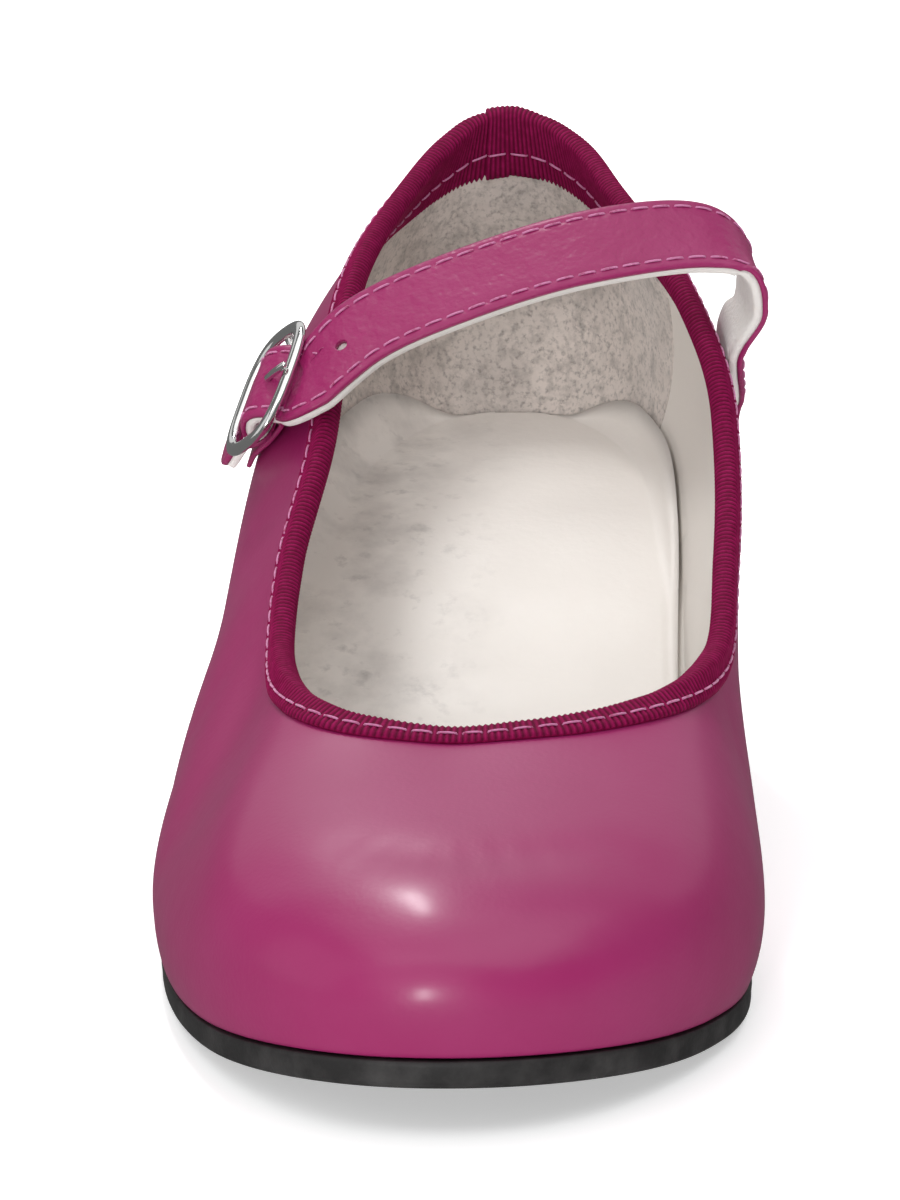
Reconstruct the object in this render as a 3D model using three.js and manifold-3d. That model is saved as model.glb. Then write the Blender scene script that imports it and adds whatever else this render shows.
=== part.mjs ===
// A child's flamenco shoe for the right foot: pump upper, ribbon-bound collar, one buckled instep
// strap, thin rubber outsole and a block heel.
// Millimetres, +Z up, heel to +Y, toe to -Y, the outer side of the foot to -X.
// The origin is the middle of the heel tip's ground face.
import * as THREE from 'three';
import Module from 'manifold-3d';

const wasm = await Module();
wasm.setup();

// Last
const LENGTH = 210.5;           // heel back to toe tip along the feather line
const BALL_WIDTH = 77;
const HEEL_HEIGHT = 38;         // outsole underside above the ground at the heel back
const TOE_SPRING = 6.4;         // the same at the toe tip
const BACK_HEIGHT = 50;         // collar above the heel seat at the back seam
const HEEL_BACK = 27;           // y of the feather line at the heel back
const TOE_SWING = 1.2;          // how far the toe tip sits toward the inner side
const TOE_SQUARENESS = 2.15;    // 2 is a plain ellipse
const FLAT_FRONT = 0.73;        // share of the length where the ground contact ends

// Upper
const WALL = 1.5;
const LASTING = 11;             // how far the upper turns in under the foot
const BEND = 0.8;               // outer radius of that turn
const FOLD = 1.2;               // inner face to the fold of the margin
const THROAT = 0.74;            // share of the length at the front of the mouth
const COLLAR_MIDDLE = 0.4436;   // share of the length where the mouth is halved
const COLLAR_BACK = 1;          // collar set in from the heel back
const THROAT_SQUARENESS = 2.75;

// Sole, heel and insole
const CLEARANCE = 0.3;          // between curved pieces that meet
const SOLE = 3.5;
const SOLE_BEVEL = 1.1;
const SOLE_INSET = 0.2;         // sole edge inside the feather line
const HEEL_END = 0.25;          // share of the length covered by the heel block
const TIP_HEIGHT = 5;
const TIP_BACK = 19;            // heel tip ground face, behind and before the origin
const TIP_FRONT = 17;
const TIP_HALF_WIDTH = 20.5;    // at the breast
const TIP_BEVEL = 0.6;
const HEEL_INSET = 1.2;         // heel block inside the feather line
const HEEL_WAIST = 0.35;        // share of the taper done in the lower half of the block
const INSOLE = 1.4;
const INSOLE_GAP = 1;           // insole edge to the inner face

// Collar ribbon
const RIBBON = 0.5;
const RIBBON_OUTSIDE = 3.6;
const RIBBON_INSIDE = 9.3;

// Strap and buckle
const STRAP_WIDTH = 12.5;
const STRAP = 2.4;
const STRAP_CROWN = 0.92;       // its crown above the heel seat, as a share of the back height
const HOLE_RADIUS = 0.9;
const RING_LONG = 9.8;          // half sizes of the ring, to the middle of its wire
const RING_SHORT = 6.6;
const WIRE_WIDE = 1.1;          // half sizes of the ring's flat wire
const WIRE_THIN = 0.75;
const BAR = 0.7;                // radius of the middle bar
const BAR_SINK = 2.6;           // middle bar below the plane of the ring
const TAB = 0.8;
const TAB_WIDTH = 9;
const TAB_SLOT = 3;             // width of the slot that lets the prong through
const TAB_SLOT_REACH = 2.6;     // half its length along the fold
const PRONG_GAP = 0.2;
const PRONG = 0.55;
const TAIL_ALONG = 8.5;         // free end of the strap past the ring, along its plane
const TAIL_FALL = 2.7;          // and off it toward the wall
const STRAP_ROUND = 0.35;       // corners taken off the strap and the tab
const TAB_ROUND = 0.15;
const RING_ANGLE = 75.7;        // place on the wall, and the ring's plane off it
const RING_SHARE = 0.847;
const RING_OFF = 6.4;
const RING_LEAN = 45;           // the ring's long side tips this far forward from upright
const RING_FLARE = -0.25;
const RING_HEADING = [-0.565, 0.677, -0.474];

// Half widths in plan, as shares of the ball width, before the outline rounds them off at both ends
const PLAN = [
  { along: 0.00, outer: 0.545, inner: 0.545 },
  { along: 0.12, outer: 0.475, inner: 0.475 },
  { along: 0.25, outer: 0.420, inner: 0.420 },
  { along: 0.42, outer: 0.430, inner: 0.395 },
  { along: 0.58, outer: 0.500, inner: 0.455 },
  { along: 0.70, outer: 0.555, inner: 0.525 },
  { along: 0.85, outer: 0.572, inner: 0.600 },
  { along: 1.00, outer: 0.565, inner: 0.600 },
];

// Height of the outsole underside: heel part as shares of the heel height, toe part of the spring
const ARCH = [
  { along: 0.00, heel: 1.00 }, { along: 0.12, heel: 0.93 }, { along: 0.22, heel: 0.84 },
  { along: 0.32, heel: 0.64 }, { along: 0.42, heel: 0.36 }, { along: 0.52, heel: 0.12 },
  { along: 0.61, heel: 0.00 }, { along: 0.73, heel: 0.00 },
];
const SPRING = [{ along: 0.73, toe: 0 }, { along: 0.87, toe: 0.3 }, { along: 1, toe: 1 }];

// Collar by angle round the mouth from the back seam: half widths as shares of the ball width,
// height above the heel seat or insole as a share of the back height
const COLLAR = [
  { angle: 0, outer: 0.462, inner: 0.462, height: 1.010 },
  { angle: 10, outer: 0.401, inner: 0.439, height: 0.990 },
  { angle: 20, outer: 0.353, inner: 0.410, height: 0.956 },
  { angle: 40, outer: 0.308, inner: 0.359, height: 0.880 },
  { angle: 60, outer: 0.300, inner: 0.395, height: 0.819 },
  { angle: 80, outer: 0.292, inner: 0.453, height: 0.771 },
  { angle: 100, outer: 0.335, inner: 0.458, height: 0.726 },
  { angle: 120, outer: 0.356, inner: 0.471, height: 0.686 },
  { angle: 140, outer: 0.367, inner: 0.464, height: 0.662 },
  { angle: 160, outer: 0.388, inner: 0.441, height: 0.641 },
  { angle: 180, outer: 0.418, inner: 0.418, height: 0.620 },
];

// Wall handles by the same angle: lower handle rise and bulge, upper handle reach and drop,
// as shares of the back height
const BULGE = [
  { angle: 0, rise: 0.40, outer: 0.178, inner: 0.178, reachOuter: 0.05, reachInner: 0.05, drop: 0.32 },
  { angle: 30, rise: 0.36, outer: 0.188, inner: 0.150, reachOuter: 0.15, reachInner: 0.09, drop: 0.28 },
  { angle: 60, rise: 0.28, outer: 0.215, inner: 0.101, reachOuter: 0.23, reachInner: 0.21, drop: 0.24 },
  { angle: 90, rise: 0.26, outer: 0.217, inner: 0.030, reachOuter: 0.15, reachInner: 0.06, drop: 0.24 },
  { angle: 120, rise: 0.28, outer: 0.085, inner: 0.099, reachOuter: 0.04, reachInner: 0.00, drop: 0.22 },
  { angle: 150, rise: 0.36, outer: 0.110, inner: 0.174, reachOuter: 0.35, reachInner: 0.37, drop: 0.14 },
  { angle: 180, rise: 0.40, outer: 0.125, inner: 0.125, reachOuter: 0.65, reachInner: 0.65, drop: 0.12 },
];

// The strap's seam on the inner quarter: angle and share on the wall, lean of its width there
const STRAP_SEAM = [
  { angle: -59.5, share: 0.50, lean: 78 },
  { angle: -62.5, share: 0.64, lean: 80 },
];

// Middle line of the strap from there to the ring: across as a share of the ball width, along as a
// share of the length, height as a share of the crown; lean tips the face forward from upright,
// flare throws its front edge sideways
const STRAP_LINE = [
  { across: 0.462, along: 0.289, height: 0.810, lean: 80, flare: 0.12 },
  { across: 0.494, along: 0.301, height: 0.880, lean: 74, flare: 0.22 },
  { across: 0.470, along: 0.304, height: 0.956, lean: 63, flare: 0.20 },
  { across: 0.375, along: 0.314, height: 0.990, lean: 52, flare: 0.06 },
  { across: 0.173, along: 0.338, height: 0.975, lean: 47, flare: 0.00 },
  { across: -0.042, along: 0.349, height: 0.918, lean: 46, flare: 0.00 },
  { across: -0.212, along: 0.356, height: 0.850, lean: 45, flare: -0.06 },
];
const SPARE_HOLE = 8.35;        // place in the strap rows, the first row being 0

// The strap's run through the ring: places along it as shares of the ring's short half size, and
// heights off its plane as shares of the strap's thickness
const RING_RUN = [
  { along: -1.20, out: -1.47 },
  { along: -0.78, out: -1.10 },
  { along: -0.34, out: -0.10 },
  { along: 0.00, out: 0.21 },
  { along: 0.34, out: -0.10 },
  { along: 0.75, out: -0.92 },
  { along: 1.15, out: -0.93 },
];

// The buckle tab's two legs on the wall: angle and share there, and distance off the wall as a
// multiple of the tab's thickness
const TAB_RUN = [
  { angle: 68.0, share: 0.531, off: 0.95 },
  { angle: 69.6, share: 0.598, off: 0.95 },
  { angle: 71.4, share: 0.670, off: 0.95 },
  { angle: 72.8, share: 0.727, off: 1.00 },
  { angle: 73.8, share: 0.770, off: 1.35 },
  { angle: 75.0, share: 0.820, off: 2.05 },
  { angle: 75.9, share: 0.860, off: 2.92 },
];
const TAB_RETURN = [
  { angle: 74.8, share: 0.812, off: 3.55 },
  { angle: 74.0, share: 0.777, off: 2.75 },
  { angle: 72.8, share: 0.728, off: 2.25 },
];

// Facets
const ROUND = 84;
const WALL_STEPS = 11;
const HEEL_ROUND = 34;
const BREAST_ROUND = 0.35;      // facets along the breast against those round the heel

const RAD = Math.PI / 180;
const add = (a, b, k = 1) => a.map((value, i) => value + b[i] * k);
const minus = (a, b) => a.map((value, i) => value - b[i]);
const dot = (a, b) => a.reduce((sum, value, i) => sum + value * b[i], 0);
const mix = (a, b, t) => a.map((value, i) => value + (b[i] - value) * t);
const size = (a) => Math.hypot(...a);
const unit = (a) => a.map((value) => value / size(a));
const cross = (a, b) => [a[1] * b[2] - a[2] * b[1], a[2] * b[0] - a[0] * b[2], a[0] * b[1] - a[1] * b[0]];
const clamp = (t) => Math.min(1, Math.max(0, t));
const ease = (t) => clamp(t) ** 2 * (3 - 2 * clamp(t));

// Reads one column of a table at a place in its first column, with a curve that never overshoots
function read(table, key, place, column) {
  const last = table.length - 1;
  const x = table.map((row) => row[key]);
  const y = table.map((row) => row[column]);
  if (place <= x[0]) return y[0];
  if (place >= x[last]) return y[last];
  const slope = x.slice(1).map((value, i) => (y[i + 1] - y[i]) / (value - x[i]));
  const tangent = (i) => {
    if (i === 0) return slope[0];
    if (i === last) return slope[last - 1];
    if (slope[i - 1] * slope[i] <= 0) return 0;
    return 2 / (1 / slope[i - 1] + 1 / slope[i]);
  };
  const i = x.findIndex((value) => value > place) - 1;
  const step = x[i + 1] - x[i];
  const t = (place - x[i]) / step;
  return y[i] * (1 + 2 * t) * (1 - t) ** 2 + y[i + 1] * t * t * (3 - 2 * t)
    + step * t * (1 - t) * (tangent(i) * (1 - t) - tangent(i + 1) * t);
}

// Height of the outsole underside above the ground at a place along the shoe
function underside(y) {
  const along = (HEEL_BACK - y) / LENGTH;
  if (along < FLAT_FRONT) return HEEL_HEIGHT * read(ARCH, 'along', along, 'heel');
  return TOE_SPRING * read(SPRING, 'along', along, 'toe');
}

// An oval that turns squarer as the power grows, as a cosine and sine pair
function oval(angle, power) {
  const c = Math.cos(angle);
  const s = Math.sin(angle);
  const d = (Math.abs(c) ** power + Math.abs(s) ** power) ** (1 / power);
  return [c / d, s / d];
}

const degrees = (angle) => Math.abs(Math.atan2(Math.sin(angle), Math.cos(angle))) / RAD;
const side = (angle) => (Math.sin(angle) > 0 ? 'outer' : 'inner');

// Edge of the sole in plan by angle: 0 at the heel back, the outer side positive, 180 at the toe
function edge(angle) {
  const [c, s] = oval(angle, 2 + (TOE_SQUARENESS - 2) * ease(-Math.cos(angle)));
  const along = (1 - c) / 2;
  const half = BALL_WIDTH * read(PLAN, 'along', along, side(angle));
  return [TOE_SWING * ease(2 * along - 1) - half * s, HEEL_BACK - LENGTH * along];
}

// Outward direction of a closed plan line that runs from the heel round by the outer side
function outward(line, angle) {
  const step = 1e-3;
  const [dx, dy] = minus(line(angle + step), line(angle - step));
  const length = Math.hypot(dx, dy);
  return [dy / length, -dx / length];
}

function insetEdge(angle, inset) {
  return add(edge(angle), outward(edge, angle), -inset);
}

function feather(angle) {
  const [x, y] = edge(angle);
  return [x, y, underside(y) + SOLE + CLEARANCE + BEND];
}

function collar(angle) {
  const [c, s] = oval(angle, 2 + (THROAT_SQUARENESS - 2) * ease(-1.6 * Math.cos(angle)));
  const middle = HEEL_BACK - LENGTH * COLLAR_MIDDLE;
  const back = HEEL_BACK - COLLAR_BACK - middle;
  const front = middle - (HEEL_BACK - LENGTH * THROAT);
  const y = middle + c * mix([front], [back], 0.5 + 0.5 * Math.tanh(4 * c))[0];
  const along = (HEEL_BACK - y) / LENGTH;
  const half = BALL_WIDTH * read(COLLAR, 'angle', degrees(angle), side(angle));
  const x = 0.6 * TOE_SWING * ease(2 * along - 0.6) - half * s;
  return [x, y, underside(y) + SOLE + BACK_HEIGHT * read(COLLAR, 'angle', degrees(angle), 'height')];
}

// Outer face of the upper: a curve at each angle from the feather line (0) to the collar (1)
function wall(angle, share) {
  const place = degrees(angle);
  const handle = (column) => BACK_HEIGHT * read(BULGE, 'angle', place, column);
  const low = feather(angle);
  const top = collar(angle);
  const out = outward(edge, angle);
  const lean = outward((a) => collar(a).slice(0, 2), angle);
  const reach = handle(side(angle) === 'outer' ? 'reachOuter' : 'reachInner');
  const lowHandle = add(low, [...out, 0], handle(side(angle)));
  lowHandle[2] += handle('rise');
  const topHandle = add(top, [...lean, 0], reach);
  topHandle[2] -= handle('drop');
  const rest = 1 - share;
  const weights = [rest ** 3, 3 * rest * rest * share, 3 * rest * share * share, share ** 3];
  return [low, lowHandle, topHandle, top]
    .reduce((sum, point, i) => add(sum, point, weights[i]), [0, 0, 0]);
}

function wallNormal(angle, share) {
  const step = 1e-3;
  const up = minus(wall(angle, Math.min(1, share + step)), wall(angle, Math.max(0, share - step)));
  const round = minus(wall(angle + step, share), wall(angle - step, share));
  return unit(cross(round, up));
}

function offWall(angle, share, distance) {
  return add(wall(angle, share), wallNormal(angle, share), distance);
}

// Share of the wall curve that lies a given length below the collar
function shareBelow(angle, length) {
  const steps = 60;
  let done = 0;
  for (let i = steps; i > 0; i -= 1) {
    const piece = size(minus(wall(angle, i / steps), wall(angle, (i - 1) / steps)));
    if (done + piece > length) return (i - (length - done) / piece) / steps;
    done += piece;
  }
  return 0;
}

// Collects faces and welds equal corners
class Shell {
  constructor() {
    this.points = [];
    this.faces = [];
    this.known = new Map();
  }

  corner(point) {
    const key = point.map((value) => Math.round(value * 1e4)).join();
    if (!this.known.has(key)) {
      this.known.set(key, this.points.length);
      this.points.push(point);
    }
    return this.known.get(key);
  }

  face(...corners) {
    const [a, b, c] = corners.map((point) => this.corner(point));
    if (a !== b && b !== c && c !== a) this.faces.push(a, b, c);
  }

  quad(a, b, c, d) {
    if (size(minus(a, c)) < size(minus(b, d))) {
      this.face(a, b, c);
      this.face(a, c, d);
    } else {
      this.face(a, b, d);
      this.face(b, c, d);
    }
  }

  geometry() {
    const geometry = new THREE.BufferGeometry();
    geometry.setAttribute('position', new THREE.Float32BufferAttribute(this.points.flat(), 3));
    geometry.setIndex(this.faces);
    return geometry;
  }
}

// Joins rings of points into a skin; wrap closes the last ring to the first
function skin(shell, rings, wrap) {
  const count = rings[0].length;
  for (let i = 0; i < rings.length - (wrap ? 0 : 1); i += 1) {
    const here = rings[i];
    const next = rings[(i + 1) % rings.length];
    for (let j = 0; j < count; j += 1) {
      const k = (j + 1) % count;
      shell.quad(here[j], here[k], next[k], next[j]);
    }
  }
}

// Closes a ring that is even about its first point with strips from side to side
function stripCap(shell, ring, up) {
  const half = ring.length / 2;
  for (let i = 0; i < half; i += 1) {
    const corners = [ring[i], ring[i + 1], ring[(ring.length - i - 1) % ring.length],
      ring[(ring.length - i) % ring.length]];
    shell.quad(...(up ? corners : corners.reverse()));
  }
}

function turns(count) {
  return Array.from({ length: count }, (_, i) => (2 * Math.PI * i) / count);
}

// A body stacked from level rings that all start at the heel back
function stack(levels) {
  const shell = new Shell();
  skin(shell, levels, false);
  stripCap(shell, levels[0], false);
  stripCap(shell, levels[levels.length - 1], true);
  return shell.geometry();
}

// A body swept through closed sections; the ends are fanned shut unless it wraps round
function sweep(sections, wrap = false) {
  const shell = new Shell();
  skin(shell, sections, wrap);
  if (!wrap) {
    const first = sections[0];
    const last = sections[sections.length - 1];
    for (let i = 1; i < first.length - 1; i += 1) {
      shell.face(first[0], first[i + 1], first[i]);
      shell.face(last[0], last[i], last[i + 1]);
    }
  }
  return shell.geometry();
}

const shares = (count) => Array.from({ length: count + 1 }, (_, i) => i / count);

// Hollow upper: outer face, collar edge, inner face and the margin turned in over the outsole
function upperSection(angle) {
  const inward = (inset, height) => {
    const [x, y] = insetEdge(angle, inset);
    return [x, y, underside(y) + SOLE + CLEARANCE + height];
  };
  const outer = shares(WALL_STEPS).map((share) => wall(angle, share));
  const inner = shares(WALL_STEPS - 2).map((share) => offWall(angle, 1 - share * 0.985, -WALL));
  const margin = [inward(WALL + FOLD, WALL), inward(LASTING, WALL), inward(LASTING, 0),
    inward(BEND, 0), inward(0.3 * BEND, 0.3 * BEND)];
  return [...outer, ...inner, ...margin].reverse();
}

function levelRing(inset, height) {
  return turns(ROUND).map((angle) => {
    const [x, y] = insetEdge(angle, inset);
    return [x, y, underside(y) + height];
  });
}

function outsole() {
  const edgeRing = (height) => levelRing(SOLE_INSET, height);
  return stack([levelRing(SOLE_INSET + SOLE_BEVEL, 0), edgeRing(SOLE_BEVEL), edgeRing(SOLE)]);
}

function insole() {
  const low = SOLE + 2 * CLEARANCE + WALL;
  const inset = WALL + INSOLE_GAP;
  return stack([levelRing(inset, low), levelRing(inset, low + INSOLE)]);
}

// Plan of the heel block: the sole's own edge as far as the heel front, closed by a flat breast
function heelRing(share, height) {
  const front = HEEL_BACK - LENGTH * HEEL_END;
  const end = Math.acos(1 - 2 * HEEL_END);
  const widest = insetEdge(-end, HEEL_INSET)[0];
  return turns(HEEL_ROUND).map((turn) => {
    const angle = (turn > Math.PI ? turn - 2 * Math.PI : turn) / Math.PI * end * (1 + BREAST_ROUND);
    const held = Math.max(-end, Math.min(end, angle));
    const past = (Math.abs(angle) - end) / (BREAST_ROUND * end);
    const [edgeX, edgeY] = insetEdge(held, HEEL_INSET);
    const topX = past > 0 ? edgeX * (1 - past) : edgeX;
    const topY = past > 0 ? front : Math.max(front, edgeY);
    const along = (topY - front) / (HEEL_BACK - front);
    const footX = TIP_HALF_WIDTH * topX / widest;
    const footY = -TIP_FRONT + (TIP_FRONT + TIP_BACK) * along;
    const taper = share < 0.5 ? 2 * HEEL_WAIST * share : HEEL_WAIST + (1 - HEEL_WAIST) * (2 * share - 1);
    const [x, y] = mix([footX, footY], [topX, topY], taper);
    return [x, y, height === undefined ? mix([TIP_HEIGHT], [underside(y) - CLEARANCE], share)[0] : height];
  });
}

function heelBlock() {
  return stack([0, 0.25, 0.5, 0.7, 0.85, 1].map((share) => heelRing(share)));
}

function heelTip() {
  const keep = 1 - TIP_BEVEL / TIP_BACK;
  const foot = heelRing(0, 0).map(([x, y]) => [x * keep, y * keep, 0]);
  return stack([foot, heelRing(0, TIP_BEVEL), heelRing(0, TIP_HEIGHT)]);
}

// Grosgrain ribbon folded over the collar edge
function ribbonSection(angle) {
  const low = shareBelow(angle, RIBBON_OUTSIDE);
  const deep = shareBelow(angle, RIBBON_INSIDE);
  const high = (1 + low) / 2;
  const near = CLEARANCE;
  const far = CLEARANCE + RIBBON;
  const above = (point, height) => [point[0], point[1], point[2] + height];
  const outside = (share, distance) => offWall(angle, share, distance);
  const inside = (share, distance) => offWall(angle, share, -WALL - distance);
  const section = [
    outside(low, far), outside(high, far), outside(1, far), above(outside(1, 0), far),
    above(inside(1, 0), far), inside(1, far), inside((1 + deep) / 2, far), inside(deep, far),
    inside(deep, near), inside((1 + deep) / 2, near), inside(1, near), above(inside(1, 0), near),
    above(outside(1, 0), near), outside(1, near), outside(high, near), outside(low, near),
  ];
  return section.reverse();
}

// Lean and flare give the way a band's front edge falls away from its middle line
function fallOf(lean, flare) {
  return [flare, -Math.sin(lean * RAD), -Math.cos(lean * RAD)];
}

// The ring sits on the outer side, where the strap turns down: the strap runs under both of its
// long sides and over its middle bar
const ringPlace = offWall(RING_ANGLE * RAD, RING_SHARE, RING_OFF);
const ringDown = unit(fallOf(RING_LEAN, RING_FLARE));
const ringAlong = unit(add(RING_HEADING, ringDown, -dot(RING_HEADING, ringDown)));
const ringFace = cross(ringAlong, ringDown);

function ringPoint(along, down, out) {
  return add(add(add(ringPlace, ringAlong, along), ringDown, down), ringFace, out);
}

const acrossRing = (along, out) => [...ringPoint(along, 0, out), RING_LEAN, RING_FLARE];

// A row of a band that lies flat along the wall
function onWall(angle, share, off, fall) {
  const normal = wallNormal(angle, share);
  const [x, y, z] = add(fall, normal, -dot(fall, normal));
  return [...offWall(angle, share, off), Math.atan2(-y, -z) / RAD, x / Math.hypot(y, z)];
}

const crown = HEEL_HEIGHT + STRAP_CROWN * BACK_HEIGHT;
const strapRows = [
  ...STRAP_SEAM.map((row) => {
    return onWall(row.angle * RAD, row.share, CLEARANCE + STRAP / 2, fallOf(row.lean, 0));
  }),
  ...STRAP_LINE.map((row) => [
    row.across * BALL_WIDTH,
    HEEL_BACK - row.along * LENGTH,
    row.height * crown,
    row.lean,
    row.flare,
  ]),
  ...RING_RUN.map((row) => acrossRing(row.along * RING_SHORT, row.out * STRAP)),
  acrossRing(RING_SHORT + TAIL_ALONG, -STRAP - TAIL_FALL),
];

// A smooth curve through the rows of a band: place, lean and flare together
function rowCurve(rows, place) {
  const i = Math.min(rows.length - 2, Math.max(0, Math.floor(place)));
  const t = place - i;
  const row = (k) => rows[Math.min(rows.length - 1, Math.max(0, k))];
  const [before, here, next, after] = [row(i - 1), row(i), row(i + 1), row(i + 2)];
  return here.map((value, k) => {
    const bend = 2 * before[k] - 5 * value + 4 * next[k] - after[k];
    const twist = 3 * (value - next[k]) + after[k] - before[k];
    return value + 0.5 * t * (next[k] - before[k] + t * (bend + t * twist));
  });
}

function bandFrame(rows, place) {
  const step = 0.02;
  const ahead = rowCurve(rows, Math.min(rows.length - 1, place + step)).slice(0, 3);
  const behind = rowCurve(rows, Math.max(0, place - step)).slice(0, 3);
  const along = unit(minus(ahead, behind));
  const [x, y, z, lean, flare] = rowCurve(rows, place);
  const fall = fallOf(lean, flare);
  const down = unit(add(fall, along, -dot(fall, along)));
  return { middle: [x, y, z], along, down, face: unit(cross(along, down)) };
}

function bandPoint(frame, down, out) {
  return add(add(frame.middle, frame.down, down), frame.face, out);
}

// Section of a band with its corners taken off
function bandSection(frame, halfWidth, halfThick, round) {
  const w = halfWidth;
  const t = halfThick;
  return [[w, t - round], [w - round, t], [-w + round, t], [-w, t - round],
    [-w, -t + round], [-w + round, -t], [w - round, -t], [w, -t + round]]
    .map(([down, out]) => bandPoint(frame, down, out));
}

function strapBody() {
  const end = strapRows.length - 1;
  const tip = 1.2;
  const sections = shares(66).map((share) => {
    const place = share * end;
    const past = Math.max(0, place - end + tip) / tip;
    const half = (STRAP_WIDTH / 2) * Math.sqrt(Math.max(0.06, 1 - past ** 2.4));
    return bandSection(bandFrame(strapRows, place), half, STRAP / 2, STRAP_ROUND);
  });
  return sweep(sections);
}

// A round wire along a path; the path bends about one direction
function wire(path, radius, axis, sides = 8) {
  return sweep(path.map((point, i) => {
    const ahead = unit(minus(path[Math.min(path.length - 1, i + 1)], path[Math.max(0, i - 1)]));
    const up = unit(cross(ahead, axis));
    return turns(sides).map((turn) => add(add(point, axis, radius * Math.cos(turn)), up,
      radius * Math.sin(turn)));
  }));
}

function solid(geometry) {
  return new wasm.Manifold(new wasm.Mesh({
    numProp: 3,
    vertProperties: new Float32Array(geometry.attributes.position.array),
    triVerts: new Uint32Array(geometry.index.array),
  }));
}

function fromSolid(body) {
  const mesh = body.getMesh();
  const geometry = new THREE.BufferGeometry();
  geometry.setAttribute('position', new THREE.Float32BufferAttribute(mesh.vertProperties, 3));
  geometry.setIndex(Array.from(mesh.triVerts));
  return geometry;
}

// Takes round holes out of a body along given wires
function punched(body, cutters) {
  return fromSolid(cutters.reduce((rest, cutter) => rest.subtract(solid(cutter)), solid(body)));
}

function ringBody() {
  const rim = sweep(turns(36).map((turn) => {
    const [c, s] = oval(turn, 3);
    const [outX, outY] = unit([Math.cos(turn) * RING_LONG, Math.sin(turn) * RING_SHORT]);
    return turns(8).map((around) => {
      const wide = WIRE_WIDE * Math.cos(around);
      const thin = -WIRE_THIN * Math.sin(around);
      return ringPoint(RING_SHORT * c + outX * wide, RING_LONG * s + outY * wide, thin);
    });
  }), true);
  // The middle bar dips under the plane of the ring between its two ends
  const path = shares(12).map((share) => {
    const k = 2 * share - 1;
    return ringPoint(0, k * RING_LONG, -BAR_SINK * (1 - k ** 6));
  });
  return fromSolid(solid(rim).add(solid(wire(path, BAR, ringAlong))));
}

// The prong loops the middle bar, comes up through the strap and rests on the near side of the ring
function prongPath() {
  const eye = BAR + PRONG_GAP + PRONG;
  const loop = shares(12).map((share) => {
    const turn = (210 - 300 * share) * RAD;
    return ringPoint(-eye * Math.cos(turn), 0, -BAR_SINK - eye * Math.sin(turn));
  });
  return [...loop.reverse(),
    ringPoint(-0.42 * RING_SHORT, 0, WIRE_THIN + 0.5),
    ringPoint(-RING_SHORT - WIRE_WIDE, 0, WIRE_THIN + PRONG + 0.1)];
}

// A leather tab folded round the middle bar; both ends are sewn flat to the outer quarter
function tabBody() {
  const loop = BAR + CLEARANCE / 2 + TAB / 2;
  const bend = shares(6).map((share) => {
    const turn = Math.PI * (1 - share);
    return acrossRing(loop * Math.cos(turn), -BAR_SINK + loop * Math.sin(turn));
  });
  const run = (row) => onWall(row.angle * RAD, row.share, row.off * TAB, ringDown);
  const rows = [...TAB_RUN.map(run), ...bend, ...TAB_RETURN.map(run)];
  const band = sweep(shares(30).map((share) => {
    const frame = bandFrame(rows, share * (rows.length - 1));
    return bandSection(frame, TAB_WIDTH / 2, TAB / 2, TAB_ROUND);
  }));
  const slot = sweep([-1, 1].map((k) => {
    const middle = ringPoint(TAB_SLOT_REACH * k, 0, -BAR_SINK);
    const frame = { middle, along: ringAlong, down: ringDown, face: ringFace };
    return bandSection(frame, TAB_SLOT / 2, 3 * TAB, 0.1);
  }));
  return punched(band, [slot]);
}

const group = new THREE.Group();

function addMesh(name, geometry, color, roughness, metalness = 0) {
  const flat = geometry.toNonIndexed();
  flat.computeVertexNormals();
  const mesh = new THREE.Mesh(flat, new THREE.MeshStandardMaterial({ color, roughness, metalness }));
  mesh.name = name;
  group.add(mesh);
}

addMesh('upper', sweep(turns(ROUND).map(upperSection), true), 0x9c2f68, 0.4);
addMesh('collar_binding', sweep(turns(ROUND).map(ribbonSection), true), 0x7b1047, 0.85);
addMesh('insole', insole(), 0xe2ddd6, 0.6);
addMesh('outsole', outsole(), 0x2c2a2a, 0.7);
addMesh('heel_block', heelBlock(), 0x8d2a5e, 0.4);
addMesh('heel_tip', heelTip(), 0x232121, 0.75);
const prong = prongPath();
const spare = bandFrame(strapRows, SPARE_HOLE);
const sparePin = [-STRAP, STRAP].map((out) => bandPoint(spare, 0, out));
const strapHoles = [wire(prong, PRONG + PRONG_GAP, ringDown), wire(sparePin, HOLE_RADIUS, spare.down)];

addMesh('strap', punched(strapBody(), strapHoles), 0x9c2f68, 0.45);
addMesh('buckle_tab', tabBody(), 0x8d2a5e, 0.45);
addMesh('buckle_frame', ringBody(), 0xcfcfd2, 0.2, 1);
addMesh('buckle_prong', wire(prong, PRONG, ringDown), 0xcfcfd2, 0.2, 1);

export default group;
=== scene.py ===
"""The look of a child's flamenco shoe: satin leather pump, ribbed collar ribbon, buckled strap."""
import math

import bmesh
import bpy
import numpy as np
from mathutils import Matrix, Vector


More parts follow.
